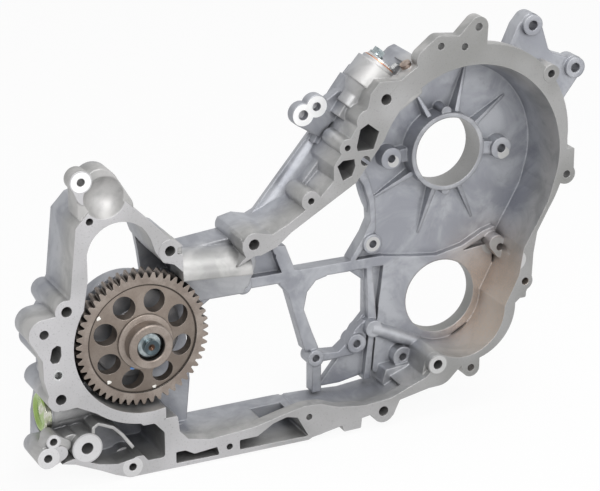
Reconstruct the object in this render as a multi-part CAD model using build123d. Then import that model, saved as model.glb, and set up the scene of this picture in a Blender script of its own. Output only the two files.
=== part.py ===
from build123d import *
import os
from math import cos, sin, tan, pi, radians, atan2, hypot

# Main sizes, in mm
# Drawing axes: X to the right, Z up, Y from the front joint face (0) to the block face
DEEP = 56.0
FLOOR = 50.0
LOW = 44.0
DATUM = (150.0, DEEP, 47.5)

# Pump drive and rotor chamber
AXIS_X = -132.5
AXIS_Z = -61.4
SHAFT_R = 8.0
RUN = 0.03
GEAR_FRONT = 10.0
GEAR_WIDTH = 14.0
TEETH = 51
MODULE = 2.0
HELIX = 20.0
PITCH_R = TEETH * MODULE / cos(radians(HELIX)) / 2
TIP_R = PITCH_R + MODULE
ROOT_R = PITCH_R - 1.25 * MODULE
HUB_FRONT = -8.5
HUB_R = 18.6
WEB_HOLE_R = 9.2
WEB_HOLE_PCR = 33.5
ROTOR_TEETH = 6
ECC = 3.2
LOBE_PCR = 26.0
LOBE_R = 8.0
ROTOR_FRONT = 34.0
ROTOR_BACK = 49.96
OUTER_ROTOR_R = 30.0

# Bores, relief valve and machined face holes
UPPER_BORE = (150.0, 47.5)
UPPER_BORE_R = 29.5
COLLAR_R = 33.5
COLLAR_FRONT = 32.0
LOWER_BORE = (151.0, -85.2)
LOWER_BORE_R = 32.3
VALVE_Y = 33.0
VALVE_Z = -119.4
VALVE_R = 7.0
VALVE_SEAT = -172.0
PLUG_FACE = -206.5
COVER_X = AXIS_X - 1.6
COVER_R = 41.0
SCREW_PCR = 36.8
LEAN = Vector(0.67, 0, 0.7424).normalized()
ALONG = Vector(0.7424, 0, -0.67).normalized()
CAP_SEAT = Vector(83.5, 28, 134.2)
SEAL_SEAT = Vector(99.5, 12, 133.5)
SEAL_WAY = Vector(-0.5, 0, 0.866).normalized()
M8_R = 4.4
M6_R = 3.3


# Small helpers: flat shapes are drawn in X and Z and pushed from front to back
def slab(shape, front, back):
    return Pos(0, back, 0) * Rot(90, 0, 0) * extrude(shape, back - front, dir=(0, 0, 1))


def disc(x, z, r):
    return Pos(x, z) * Circle(r)


def poly(*pts, r=0):
    if not r:
        return Polygon(*pts, align=None)
    ends = []
    edges = []
    for k, point in enumerate(pts):
        here = Vector(*point)
        back = Vector(*pts[k - 1]) - here
        ahead = Vector(*pts[(k + 1) % len(pts)]) - here
        half = radians(back.get_angle(ahead)) / 2
        cut = min(r / tan(half), back.length * 0.45, ahead.length * 0.45)
        way = (back.normalized() + ahead.normalized()) * 0.5
        if way.length < 0.05:
            ends.append((here, here))
            continue
        a = here + back.normalized() * cut
        b = here + ahead.normalized() * cut
        ends.append((a, b))
        size = cut * tan(half)
        mid = here + way.normalized() * (size / sin(half) - size)
        edges.append(ThreePointArc(a, mid, b))
    for k in range(len(pts)):
        edges.append(Line(ends[k - 1][1], ends[k][0]))
    return make_face(edges)


def lobe(*discs):
    return make_hull([e for d in discs for e in d.edges()])


def tube(a, b, r):
    start = Vector(*a)
    way = Vector(*b) - start
    return Solid.make_cylinder(r, way.length, Plane(origin=start, z_dir=way))


def cone(a, b, r1, r2):
    start = Vector(*a)
    way = Vector(*b) - start
    return Solid.make_cone(r1, r2, way.length, Plane(origin=start, z_dir=way))


def spin(*pts):
    return revolve(Polygon(*pts, align=None), Axis.Y)


def hexagon(across, start, way):
    face = Plane(origin=start, z_dir=way) * RegularPolygon(across / 2, 6, major_radius=False)
    return extrude(face, way.length, dir=way.normalized())


# Outlines of the casting
POCKET = disc(-131, -57.5, 63.2)
OPENING = poly((-185, -25), (-181, 0), (-181, 22), (-176, 33), (-166, 41.5), (-154, 43.5),
               (-143, 41.5), (-135, 37), (-128, 26), (-124, 14), (-118, 5), (-108, -1), (-131, -50), r=3)
CHAMBER = disc(152, -87, 38) + poly(
    (234, 20), (229, 3), (218, -17), (207, -36), (203, -60), (190, -86), (150, -100), (120, 0), r=4)
OPEN_SIDE = poly((50, 46), (76, 80), (120, 70), (150, -100), (117, -137), (104, -142),
                 (84, -150), (60, -152), (36, -149), (20, -143), (16, -90), (30, -20), (-8, 12), r=2)
LOWER_RING = disc(155, -85, 45) + poly(
    (236, 22), (231, -1), (219, -23), (216, -42), (215, -64), (210, -76), (200, -84), (150, -130),
    (120, 0), r=4)
UPPER_RING = disc(148, 49, 97) + disc(160, 62, 85)
WINDOW = poly((-16, 0), (-8, 12), (50, 46), (64, 44), (79, 24), (84, 8), (85, -8), (80, -19), (66, -40),
              (20, -40), (14, -35), (6, -16), r=2)


def face_lugs():
    lugs = lobe(disc(124, 150, 8.5), disc(112, 140, 9), disc(146, 146, 10))
    lugs += lobe(disc(158.5, 162, 8.5), disc(146, 149, 9), disc(158, 140, 8))
    lugs += lobe(disc(245, 24, 8.5), disc(236, 26, 8))
    lugs += poly((238, 25), (252, 25), (252, 46.5), (238, 46.5), r=1.5)
    lugs += lobe(disc(208, -66, 8), disc(200, -62, 8))
    lugs += poly((196, -62), (210, -62), (210, -80.5), (196, -80.5), r=1.5)
    lugs += lobe(disc(159, -136, 8), disc(158, -124, 9))
    return lugs


def rail_face():
    top = [(-119, -129), (-108, -129), (-108, -141), (-99, -151), (-80, -155), (-40, -152), (-15, -146),
           (5, -142), (20, -143), (36, -149), (60, -152), (84, -150), (104, -142), (117, -137)]
    low = [(126, -146), (92, -153), (87, -160), (84, -168), (77, -170.5), (71, -168), (65, -161.5),
           (57, -161.5), (56, -171.5), (40.5, -172), (37, -160), (26, -160), (20.5, -170), (12, -171),
           (8, -173), (-147, -174.5), (-147, -150), (-119, -150)]
    return poly(*top, *low, r=1) + disc(77, -160.5, 10)


def rail_back():
    return poly((-119, -129), (-108, -129), (-106, -146), (-96, -155), (0, -154), (30, -155), (60, -157),
                (88, -154), (104, -146), (117, -137), (126, -146), (92, -153), (86, -166), (77, -169),
                (65, -161.5), (40, -166), (8, -172), (-147, -173.5), (-147, -150), (-119, -150), r=2)


def left_outline():
    wall = poly((-195.5, -12), (-189.5, 44), (-178, 56), (-150, 62), (-138, 51), (-124, 37), (-113, 25),
                (-104, 16), (-95, -10), (-131, -60), (-206, -30), r=2)
    ring = disc(-131, -57.5, 72.3) - poly((-118, -200), (-118, 40), (0, 40), (0, -200))
    shoulder = disc(-112, 13.5, 9.3)
    low = poly((-208, -100), (-190, -100), (-128, -126), (-119, -129), (-119, -174), (-150, -174.5),
               (-162, -170), (-176, -163), (-196, -154), (-214, -150), (-213, -126), r=3)
    web = poly((-199, -23), (-209, -40), (-209, -57), (-207, -76), (-206, -96), (-185, -80), (-190, -30))
    return wall + ring + shoulder + low + web


def left_bosses():
    parts = slab(lobe(disc(-199, -23, 9.5), disc(-190, -45, 8)), 0, DEEP)
    parts += slab(lobe(disc(-218, -39, 12.5), disc(-202, -34, 9), disc(-200, -55, 10)), 0, 33)
    parts += slab(lobe(disc(-218, -39, 12.5), disc(-209, -57, 11.5), disc(-190, -60, 8)), 0, 12)
    parts += slab(lobe(disc(-209, -60, 11), disc(-200, -74, 8), disc(-190, -60, 8)), 0, DEEP)
    parts += slab(lobe(disc(-209, -57, 11), disc(-208, -76, 11.5), disc(-206, -96, 8.5), disc(-185, -80, 8)), 0, 12)
    parts += slab(lobe(disc(-207, -96, 10), disc(-190, -90, 9)), 0, DEEP)
    parts += slab(lobe(disc(-207, -78, 8), disc(-190, -80, 8)), 0, 30)
    return parts - slab(POCKET, -1, 60)


def middle_outline():
    bar = poly((-48, 12), (-44, -2), (-34, -3), (-20, 2), (-8, 12), (50, 46), (66, 62), (100, 112),
               (114, 140), (105, 137), (92, 126), (70, 127), (62, 118), (54, 100), (42, 82), (30, 70),
               (18, 52), (2, 34), (-12, 23), (-34, 17), r=2)
    return bar + disc(-40, 7, 10)


def chamber_shell():
    mouth = Pos(0, 6, 0) * (Plane.XZ * disc(149, 48, 94))
    back = Pos(0, DEEP, 0) * (Plane.XZ * disc(158, 40, 83))
    return loft([mouth, back])


def chamber_space():
    mouth = Pos(0, -1, 0) * (Plane.XZ * disc(153, 46, 85))
    back = Pos(0, FLOOR, 0) * (Plane.XZ * disc(158, 40.5, 78.5))
    return loft([mouth, back])


# The one-piece casting: timing gear housing with the pump body in it
def casting():
    holes = POCKET + OPENING + CHAMBER + OPEN_SIDE
    body = slab(left_outline() + middle_outline() + LOWER_RING + rail_back() - holes, 0, DEEP)
    body += slab(middle_outline() + UPPER_RING + LOWER_RING + rail_face() + face_lugs() - holes, 0, 11)
    body += chamber_shell() - slab(CHAMBER + OPEN_SIDE, -1, FLOOR)
    body -= chamber_space()
    body += slab(lobe(disc(128, -131, 16), disc(148, -120, 10), disc(104, -140, 8)) - holes, 0, DEEP)
    body += left_bosses()
    body += upper_works()
    body += back_frame()
    body += chamber_details()
    body += left_details()
    body -= pockets_and_holes()
    body -= pump_cuts()
    return body


# Parts of the casting that stand behind or above the front face
def upper_works():
    parts = slab(lobe(disc(-184, 81, 8.5), disc(-180, 70, 8)), 0, 13)
    parts += slab(lobe(disc(-168, 74, 15), disc(-152, 55, 11), disc(-178, 54, 9), disc(-179, 72, 8)), 2, 22)
    parts += slab(poly((-112, 5), (-112, 21), (-96, 14), (-50, 13), (-40, -3), (-60, -12), (-96, -11), r=2), 0, 24)
    parts += slab(poly((-100, -6), (-90, 0), (-48, 4), (-30, 0), (-25, -21), (-34, -46), (-86, -46), r=3), 30, DEEP)
    wall = poly((-40, 8), (-24, 8), (36, 79), (65, 105), (84, 122), (100, 112), (60, 60), (0, 20), r=2)
    step = poly((-30, 8), (-16, 17), (6, 38), (24, 60), (38, 78), (54, 96), (66, 112), (80, 100), (40, 50), (0, 16), r=2)
    parts += slab(wall, 22, DEEP) + slab(step, 9, 30)
    parts += slab(lobe(disc(6, 38, 6.5), disc(12, 32, 6)), 3, 30)
    parts += slab(lobe(disc(40, 80, 6), disc(46, 74, 6)), 3, 30)
    parts += bracket()
    parts += oblique_boss()
    parts += ear_plate()
    return parts


def bracket():
    plate = poly((8.5, 99.5), (12, 105), (20, 108.5), (28, 113.5), (35, 111.5), (41, 108.5), (50, 112),
                 (60, 112), (50, 92), (34, 76), (26, 78), (19, 87), (10, 92), r=2.5)
    return slab(plate, 36, 45)


def oblique_boss():
    parts = tube(CAP_SEAT - LEAN * 5, CAP_SEAT - LEAN * 0.9, 15)
    parts += tube(CAP_SEAT - LEAN * 24, CAP_SEAT - LEAN * 4, 18)
    parts += tube(CAP_SEAT - LEAN * 42, CAP_SEAT - LEAN * 23, 14)
    parts += slab(poly((56, 98), (62, 114), (74, 122), (90, 120), (112, 132), (112, 110), (80, 90), r=2), 8, 38)
    parts += tube(SEAL_SEAT - SEAL_WAY * 8, SEAL_SEAT, 5.6)
    return parts


def ear_plate():
    plate = disc(230.7, 144.3, 9.5) + lobe(disc(273, 102.4, 9.5), disc(250, 90, 10))
    plate += poly((209, 124), (218, 144), (224, 151), (240, 146), (248, 121.5), (252, 117), (267, 111.6),
                  (281, 97), (265, 76), (254, 64), (200, 90), r=3)
    pads = disc(230.7, 144.3, 9) + disc(273, 102.4, 9)
    return slab(plate - disc(153, 46, 87), 42, DEEP) + slab(pads, 38, DEEP)


# Rear frame: floors, struts and their bolt bosses
def back_frame():
    floor = poly((66, -40), (200, -40), (196, -104), (150, -130), (118, -140), (60, -151), (40, -151),
                 (62, -124), (71, -104), (82, -92), (82, -62), (66, -49))
    floor += disc(158, 40, 83) + LOWER_RING + poly((70, -44), (84, -24), (84, 20), (160, 20), (160, -50))
    floor -= WINDOW
    parts = slab(floor, FLOOR, DEEP)
    low = poly((98, -43), (150, -50), (201, -45), (201, -62), (196, -104), (150, -130), (118, -140),
               (88, -146), (92, -100), r=3)
    parts += slab(low, LOW, FLOOR)
    struts = poly((-36, -49), (-36, -40), (98, -40), (98, -49), r=1)
    struts += poly((0, -48), (10, -60), (17, -85), (25, -114), (38, -114), (31, -96), (24, -76),
                   (27, -61), (35, -52), (52, -48), r=2)
    struts += poly((32, -120), (40, -120), (40, -153), (32, -153))
    struts += poly((34, -116), (45, -119), (56, -120), (66, -112), (72, -102), (82, -94), (82, -112), (70, -125),
                   (48, -126), (34, -126), r=1.5)
    struts += poly((-5, -16), (7, -16), (17, -42), (5, -42), r=1)
    struts += poly((66, 46), (79, 24), (84, 8), (85, -8), (80, -19), (66, -40), (70, -42), (90, -16),
                   (89, 10), (84, 28), (74, 50), r=2)
    struts += poly((82, -48), (87, -48), (90, -80), (92, -104), (84, -104))
    struts += poly((98, -48), (103, -48), (98, -86), (93, -86))
    struts += poly((85, -104), (90, -104), (86, -150), (80, -150))
    parts += slab(struts, LOW, DEEP)
    parts += slab(poly((-36, -42), (4, -42), (0, -14), (-30, -14)), 51, DEEP)
    parts += tube((-90, 46, -40), (-34, 46, -40), 9)
    for x, z, r, front in ((-32, -44, 7.5, 40), (34, -121, 7.5, 41), (72, -114.5, 8.5, 41), (86, -27, 8.5, 41)):
        parts += slab(disc(x, z, r), front, DEEP)
    parts += slab(poly((-84, -60), (-80, -118), (-84, -160), (-118, -160), (-130, -120), (-112, -60), r=3), 42, DEEP)
    pump = poly((-186, -60), (-186, -100), (-150, -124), (-100, -124), (-84, -100), (-96, -60))
    corner = poly((-123.5, 20), (-119.4, -3), (-117, -22), (-94, -40), (-84, -20), (-96, 4), (-110, 22))
    parts += slab(pump + corner, FLOOR, DEEP)
    return parts


# Collars, ribs and bosses on the chamber floors
def chamber_details():
    parts = slab(disc(*UPPER_BORE, COLLAR_R), COLLAR_FRONT, DEEP)
    bx, bz = UPPER_BORE
    for end, height in (((125, 102), 36), ((174, 117), 36), ((211, 84), 38), ((88, 10), 38), ((132, -27), 38),
                        ((183, -20), 41)):
        dx = end[0] - bx
        dz = end[1] - bz
        far = hypot(dx, dz)
        side = Vector(-dz / far * 2.2, dx / far * 2.2)
        near = Vector(bx + dx / far * 31, bz + dz / far * 31)
        tip = Vector(end[0], end[1])
        rib = poly(tuple(near + side)[:2], tuple(near - side)[:2], tuple(tip - side * 0.45)[:2],
                   tuple(tip + side * 0.45)[:2])
        wedge = poly((25, height), (far, FLOOR - 1), (far, FLOOR + 1), (25, FLOOR + 1))
        turn = -atan2(dz, dx) * 180 / pi
        blade = Pos(bx, 0, bz) * Rot(0, turn, 0) * extrude(wedge, 6, both=True)
        parts += slab(rib, 34, FLOOR + 0.5) & blade
    for x, z in ((204, 41), (101, 46.5)):
        parts += slab(disc(x, z, 9.5), 38, DEEP)
        parts += slab(lobe(disc(x, z, 5), disc(bx + (x - bx) * 0.6, bz + (z - bz) * 0.6, 6)), 41, DEEP)
    parts += slab(disc(149, 82, 4.5), COLLAR_FRONT + 2, DEEP) + slab(disc(150, 13, 4), COLLAR_FRONT + 2, DEEP)
    step = poly((84, -40), (100, -41), (124, -45), (148, -48), (172, -43), (192, -33), (203, -30), (203, -36),
                (192, -39), (172, -48), (148, -53), (124, -50), (100, -47), (84, -46), r=1)
    parts += slab(step, 44, DEEP)
    parts += slab(lobe(disc(200, -42, 7), disc(206, -50, 7)), 34, DEEP)
    parts += slab(disc(127, -127, 8.8), -1, DEEP) + slab(lobe(disc(127, -127, 9), disc(122, -138, 6)), 6, DEEP)
    parts += tube((85, 42, -102), (128, 40, -122), 6) + slab(disc(86, -102, 7.5), 37, DEEP)
    parts += slab(disc(112, -131, 9), 34, DEEP)
    parts += slab(poly((94, -138), (120, -136), (120, -152), (90, -152), r=2), 30, DEEP)
    parts += slab(disc(227, 114, 7.5), -0.6, 20)
    return parts


# Pump body, relief valve housing and lower left bosses
def left_details():
    parts = slab(disc(AXIS_X, AXIS_Z, 38), 26, DEEP) + slab(disc(COVER_X, AXIS_Z, 44), 44, DEEP)
    parts += slab(disc(AXIS_X, AXIS_Z, 20), 24.5, 27)
    parts += slab(poly((-170, -90), (-150, -60), (-120, -90), (-150, -126), (-186, -110), r=3), 28, DEEP)
    parts += slab(poly((-200, -45), (-150, -50), (-150, -72), (-198, -80), r=3), 32, DEEP)
    parts += slab(poly((-110, -50), (-100, -76), (-60, -49), (-60, -30), (-100, -20), r=3), 40, DEEP)
    parts += tube((PLUG_FACE, VALVE_Y, VALVE_Z), (-168, VALVE_Y, VALVE_Z), 14)
    parts += slab(disc(-213.5, -131, 6), 0, 16)
    parts += slab(lobe(disc(-218.5, -144.5, 8.7), disc(-208, -142, 6)), 0, 34)
    parts += slab(disc(-185.5, -142, 12.7), 0, DEEP)
    parts += slab(disc(-147.5, -166, 8.7), 0, DEEP)
    parts += slab(disc(-112, 13.5, 9.5), -0.4, 30)
    return parts


# Everything that is cut from the front, the back and the sides of the casting
def pockets_and_holes():
    cuts = slab(lobe(disc(-163, 68, 7.5), disc(-154, 57, 6.5), disc(-170, 58, 4)), 2, 14)
    cuts += slab(poly((-106, 15.5), (-106, 9.5), (-76, 8.5), (-70, 15.5), r=1.5), -1, 3)
    cuts += slab(poly((-52, 12), (-36, 24), (-30, 22), (-46, 8)), -2, 4)
    cuts += slab(poly((33, 62), (38, 66), (48, 66), (49, 60), (46, 52), (38, 49), r=2), -1, 30)
    cuts += slab(poly((50, 76), (53, 90), (60, 94), (70, 86), (65, 72), (51, 72), r=2), -1, 30)
    cuts += slab(poly((-23, -38), (-2, -38), (-1, -22), (-17, -23), r=2), 40, 51)
    cuts += slab(poly((-214, -61), (-212, -52), (-208, -49.5), (-204.5, -51), (-204.5, -59), (-207, -64.5),
                      (-212, -64.5), r=2), -1, 38)
    cuts += slab(poly((-158, -131.5), (-128, -131.5), (-119.5, -141), (-119.5, -163), (-134, -163), r=3), -1, 52)
    cuts += slab(poly((-205, -124), (-178, -122), (-160, -131), (-142, -158), (-160, -161), (-200, -148), r=3)
                 - disc(-185.5, -142, 12.7), -1, 20)
    cuts += slab(poly((-208, -105), (-196, -107), (-178, -118), (-178, -128), (-208, -128)), -1, 9)
    cuts += slab(poly((-110, -160.5), (-102, -160.5), (-94, -165), (-74, -163), (-72, -170.5), (-110, -170.5),
                      r=1.2), -1, 34)
    cuts += slab(poly((-54, -161), (-38, -160.5), (-24, -152), (-12, -148.5), (-2, -151), (8, -169.5), (-54, -169.5),
                      r=1.2), -1, 40)
    cuts += slab(poly((-99, -158), (-60, -158), (-60, -140), (-99, -140)), 22, DEEP - 18) & tube(
        (-92, 60, -147), (-92, 10, -147), 9)
    for x, z, r, end in ((-199, -23, M8_R, 40), (-218, -39, 3.8, 60), (-206, -96, M8_R, 40),
                         (-207.5, -75, 4.4, 8), (-178, 48, 2.8, 60), (-184, 81, M6_R, 14),
                         (-112, 13.5, M8_R, 34), (-40, 7, M8_R, 40), (10, 36, 2.8, 60), (42, 76, 2.6, 60),
                         (58, 63, 4.2, 26), (76, 112, 4.6, 60), (124.5, 150, 3, 60), (146, 147, 3, 60),
                         (158.5, 162, M6_R, 60), (227, 114, M6_R, 60), (245.5, 24, M6_R, 60),
                         (209, -66, M6_R, 60), (159, -136, M6_R, 60), (127, -127, 4.2, 60),
                         (77, -160.5, M8_R, 40), (8.5, -152.5, 2.8, 60), (-63, -165, 2.8, 60),
                         (-213.5, -131, 3, 18), (-218.5, -144.5, M6_R, 36), (-185.5, -142, 5, 60),
                         (-147.5, -166, M6_R, 60)):
        cuts += slab(disc(x, z, r), -2, end)
    for x, z, r in ((230.7, 144.3, 4.2), (273, 102.4, 4.2), (204, 41, 3.8), (203, -46, M6_R),
                    (-32, -44, 3.2), (34, -121, 3.2), (72, -114.5, 3.4), (86, -27, 3.4),
                    (101, 46.5, 3.4), (112, -131, 3.4)):
        cuts += slab(disc(x, z, r), 20, 60)
    cuts += slab(disc(19.8, 96, 4.2) + disc(31.6, 101.6, 3.7), 30, 43)
    cuts += slab(disc(*UPPER_BORE, UPPER_BORE_R), 20, 60) + slab(disc(*LOWER_BORE, LOWER_BORE_R), 20, 60)
    return cuts


# Rotor chamber, bush seat, cover seat, valve bore and oil ways
def pump_cuts():
    cuts = slab(disc(AXIS_X - ECC, AXIS_Z, OUTER_ROTOR_R + 0.08), ROTOR_FRONT - 0.04, FLOOR)
    cuts += slab(disc(AXIS_X, AXIS_Z, 10.0), 20, ROTOR_FRONT + 1)
    cuts += slab(disc(COVER_X, AXIS_Z, COVER_R + 0.05), FLOOR, DEEP + 1)
    for turn in (0, 180):
        port = disc(0, 0, 25) - disc(0, 0, 17)
        half = poly((-21, -5), (-30, 32), (30, 32), (21, -5))
        port = port & (Pos(0, 9) * half)
        cuts += slab(Pos(AXIS_X - ECC, AXIS_Z) * Rot(0, 0, turn) * port, ROTOR_FRONT - 4, ROTOR_FRONT)
    cuts += tube((-240, VALVE_Y, VALVE_Z), (VALVE_SEAT, VALVE_Y, VALVE_Z), VALVE_R + RUN)
    cuts += tube((-200, VALVE_Y, VALVE_Z), (-166, VALVE_Y, VALVE_Z), 4.5)
    cuts += tube((-240, VALVE_Y, VALVE_Z), (-196, VALVE_Y, VALVE_Z), 11.0)
    cuts += tube((-240, VALVE_Y, VALVE_Z), (PLUG_FACE, VALVE_Y, VALVE_Z), 17)
    cuts += tube((-169, VALVE_Y, VALVE_Z), (-148, VALVE_Y, -84), 3)
    for k in range(5):
        a = radians(18 + 72 * k)
        cuts += slab(disc(COVER_X + SCREW_PCR * cos(a), AXIS_Z + SCREW_PCR * sin(a), 2.0), 40, DEEP)
    cuts += tube(CAP_SEAT - LEAN * 0.9, CAP_SEAT + LEAN * 12, 16.6)
    cuts += tube(SEAL_SEAT, SEAL_SEAT + SEAL_WAY * 8, 6)
    cuts += tube(SEAL_SEAT - SEAL_WAY * 9, SEAL_SEAT, 3)
    cuts += tube(CAP_SEAT - LEAN * 18 - ALONG * 6.7, CAP_SEAT - ALONG * 6.7, 3.0)
    cuts += tube(CAP_SEAT - LEAN * 20 + ALONG * 5, CAP_SEAT + ALONG * 5, 2.9)
    return cuts


# Helical drive gear with a dished web and a long hub
def drive_gear():
    flank = []
    steps = ((ROOT_R, -0.40), (PITCH_R, -0.25), (TIP_R, -0.115), (TIP_R, 0.115), (PITCH_R, 0.25),
             (ROOT_R, 0.40))
    for k in range(TEETH):
        for r, part in steps:
            a = (k + part) * 2 * pi / TEETH
            flank.append((r * cos(a), r * sin(a)))
    face = Polygon(*flank, align=None)
    twist = GEAR_WIDTH * sin(radians(HELIX)) / cos(radians(HELIX)) / PITCH_R * 180 / pi
    rim = loft([face, Pos(0, 0, GEAR_WIDTH) * Rot(0, 0, -twist) * face], ruled=True)
    rim = Pos(0, GEAR_FRONT + GEAR_WIDTH, 0) * Rot(90, 0, 0) * rim
    inner = slab(disc(0, 0, 46.2), -20, 40)
    web = spin((SHAFT_R + 0.015, -2.5), (11.6, -2.5), (11.6, HUB_FRONT + 0.8), (12.4, HUB_FRONT),
               (HUB_R - 1, HUB_FRONT), (HUB_R, HUB_FRONT + 1), (HUB_R, 2.6), (22.6, 3.4), (23.2, 4.0),
               (23.2, 6.2), (45.0, 11.0), (46.2, 11.0), (46.2, GEAR_FRONT + GEAR_WIDTH), (45.0, 22),
               (44, 19.5), (22, 17.5), (14, 17.5), (14, 23), (SHAFT_R + 0.015, 23))
    gear = (rim - inner) + web
    for k in range(8):
        a = radians(28 + 45 * k)
        gear -= slab(disc(WEB_HOLE_PCR * cos(a), WEB_HOLE_PCR * sin(a), WEB_HOLE_R), -20, 40)
    gear -= Pos(0, 12.5, 8) * Box(3.04, 22, 4.1)
    return Pos(AXIS_X, 0, AXIS_Z) * gear


def gear_bolt():
    bolt = spin((0, -7.2), (2.2, -8.4), (5.6, -9.6), (6.4, -9.6), (6.4, -4.6), (9.6, -4.2), (11.0, -3.6),
                (11.0, -2.5), (4.95, -2.5), (4.95, 19), (4, 20), (0, 20))
    hexed = hexagon(14, Vector(0, -12, 0), Vector(0, 7.6, 0)) + slab(disc(0, 0, 12), -4.6, 30)
    return Pos(AXIS_X, 0, AXIS_Z) * (bolt & hexed)


def shaft():
    body = spin((0, -1.5), (SHAFT_R - 0.6, -1.5), (SHAFT_R, -0.9), (SHAFT_R, 54.4), (SHAFT_R - 0.6, 55), (0, 55))
    body -= slab(disc(0, 0, 5), -2, 22)
    body -= Pos(0, 10.5, 8) * Box(3, 15, 4)
    return Pos(AXIS_X, 0, AXIS_Z) * body


def key():
    return Pos(AXIS_X, 10.5, AXIS_Z + 7.9) * Box(3, 15, 3.8)


def sleeve(x, z, outer, inner, front, back):
    return slab(disc(x, z, outer) - disc(x, z, inner), front, back)


# Rotor pair: round lobes outside, the curve that rolls on them inside
def inner_rotor():
    pts = []
    n = ROTOR_TEETH + 1
    for k in range(ROTOR_TEETH * 12 + 1):
        step = k / 12
        t = 2 * pi / ROTOR_TEETH * (step - 0.92 * sin(2 * pi * step) / (2 * pi))
        x = LOBE_PCR * cos(t) - ECC * cos(n * t)
        y = LOBE_PCR * sin(t) - ECC * sin(n * t)
        dx = -LOBE_PCR * sin(t) + ECC * n * sin(n * t)
        dy = LOBE_PCR * cos(t) - ECC * n * cos(n * t)
        size = hypot(dx, dy)
        off = LOBE_R + 0.05
        pts.append((x - dy / size * off, y + dx / size * off))
    pts[-1] = pts[0]
    edges = []
    for a, b, c in zip(pts[0:-2:2], pts[1:-1:2], pts[2::2]):
        bend = (b[0] - a[0]) * (c[1] - a[1]) - (b[1] - a[1]) * (c[0] - a[0])
        edges.append(ThreePointArc(a, b, c) if abs(bend) > 0.02 else Line(a, c))
    shape = make_face(edges) - Circle(SHAFT_R + 0.01)
    return Pos(AXIS_X, 0, AXIS_Z) * slab(shape, ROTOR_FRONT, ROTOR_BACK)


def outer_rotor():
    lobes = ROTOR_TEETH + 1
    hollow = Circle(LOBE_PCR + 2 * ECC - LOBE_R + 0.15)
    for k in range(lobes):
        a = 2 * pi * k / lobes
        hollow -= disc(LOBE_PCR * cos(a), LOBE_PCR * sin(a), LOBE_R)
    ring = slab(Circle(OUTER_ROTOR_R) - hollow, ROTOR_FRONT, ROTOR_BACK)
    return Pos(AXIS_X - ECC, 0, AXIS_Z) * ring


def cover():
    plate = slab(disc(COVER_X, AXIS_Z, COVER_R) - disc(AXIS_X, AXIS_Z, 10), FLOOR, DEEP - 0.2)
    for k in range(5):
        a = radians(18 + 72 * k)
        x = COVER_X + SCREW_PCR * cos(a)
        z = AXIS_Z + SCREW_PCR * sin(a)
        plate -= slab(disc(x, z, 2.2), 40, 60)
        plate -= cone((x, DEEP - 2.2, z), (x, DEEP - 0.2, z), 2.2, 4.0)
    return plate


def cover_screws():
    out = []
    for k in range(5):
        a = radians(18 + 72 * k)
        head = spin((0, DEEP - 0.2), (3.9, DEEP - 0.2), (2.1, DEEP - 2.2), (1.97, 48), (1.97, 42), (0, 41.4))
        head -= Pos(0, DEEP, 0) * Rot(90, 0, 0) * extrude(RegularPolygon(1.2, 6), 1.4)
        out.append(Pos(COVER_X + SCREW_PCR * cos(a), 0, AXIS_Z + SCREW_PCR * sin(a)) * head)
    return Compound(children=out)


# Relief valve: piston, spring, plug and its washer, all on one line along X
def valve_piston():
    cup = revolve(Polygon((-188, 5.7), (-188, 6.6), (-187.6, VALVE_R), (-173, VALVE_R), (VALVE_SEAT, 6),
                          (VALVE_SEAT, 0), (-175, 0), (-175, 5.7), align=None), Axis.X)
    return Pos(0, VALVE_Y, VALVE_Z) * cup


def valve_spring():
    path = Helix(4.9, 24.5, 4.5)
    start = path @ 0
    wire = Plane(origin=start, z_dir=path % 0) * Circle(0.75)
    coil = sweep(wire, path=path)
    return Pos(-200.25, VALVE_Y, VALVE_Z) * Rot(0, 90, 0) * coil


def valve_plug():
    body = revolve(Polygon((-213.5, 0), (-212.4, 3), (-211.6, 10), (-213.5, 13.5), (-213.5, 15), (-212.6, 16.3),
                           (-208.6, 16.3), (-208, 15.8), (-208, 10.96), (-197.5, 10.96), (-197, 10.4), (-197, 5.7),
                           (-201, 5.7), (-201, 0), align=None), Axis.X)
    return Pos(0, VALVE_Y, VALVE_Z) * body


def plug_washer():
    ring = tube((-208, VALVE_Y, VALVE_Z), (PLUG_FACE, VALVE_Y, VALVE_Z), 15)
    return ring - tube((-209, VALVE_Y, VALVE_Z), (PLUG_FACE + 1, VALVE_Y, VALVE_Z), 11.1)


# Cap on the sloping boss: copper gasket, cap, clip and bolt
def on_cap(low, high, r, shift=0.0):
    return tube(CAP_SEAT + LEAN * low + ALONG * shift, CAP_SEAT + LEAN * high + ALONG * shift, r)


def copper_gasket():
    return on_cap(-0.9, 0, 14) - on_cap(-2, 1, 3.2, -6.7) - on_cap(-2, 1, 3, 5)


def gallery_cap():
    return on_cap(0, 1.5, 12.8) - on_cap(-1, 3, 3.2, -6.7)


def spring_clip():
    frame = Plane(origin=CAP_SEAT + LEAN * 1.5, x_dir=ALONG, z_dir=LEAN)
    strip = frame * Pos(1, 0, 0.5) * Box(25, 9, 1)
    hook = frame * Pos(13, 0, 3.6) * Rot(0, 12, 0) * Box(1, 5, 5.8)
    lip = frame * Pos(14.6, 0, 6.6) * Rot(0, 50, 0) * Box(1, 5, 2.6)
    return strip + hook + lip - on_cap(0, 5, 3.2, -6.7)


def cap_bolt():
    seat = CAP_SEAT + LEAN * 2.5 - ALONG * 6.7
    head = hexagon(10, seat + LEAN * 1.2, LEAN * 4.6) + tube(seat, seat + LEAN * 1.4, 6.3)
    head -= tube(seat + LEAN * 5.2, seat + LEAN * 7, 3)
    return head + tube(seat - LEAN * 17, seat, 2.95)


def sealing_plug():
    return tube(SEAL_SEAT - SEAL_WAY * 8, SEAL_SEAT, 2.98) + tube(SEAL_SEAT, SEAL_SEAT + SEAL_WAY * 3.2, 4.6)


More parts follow.
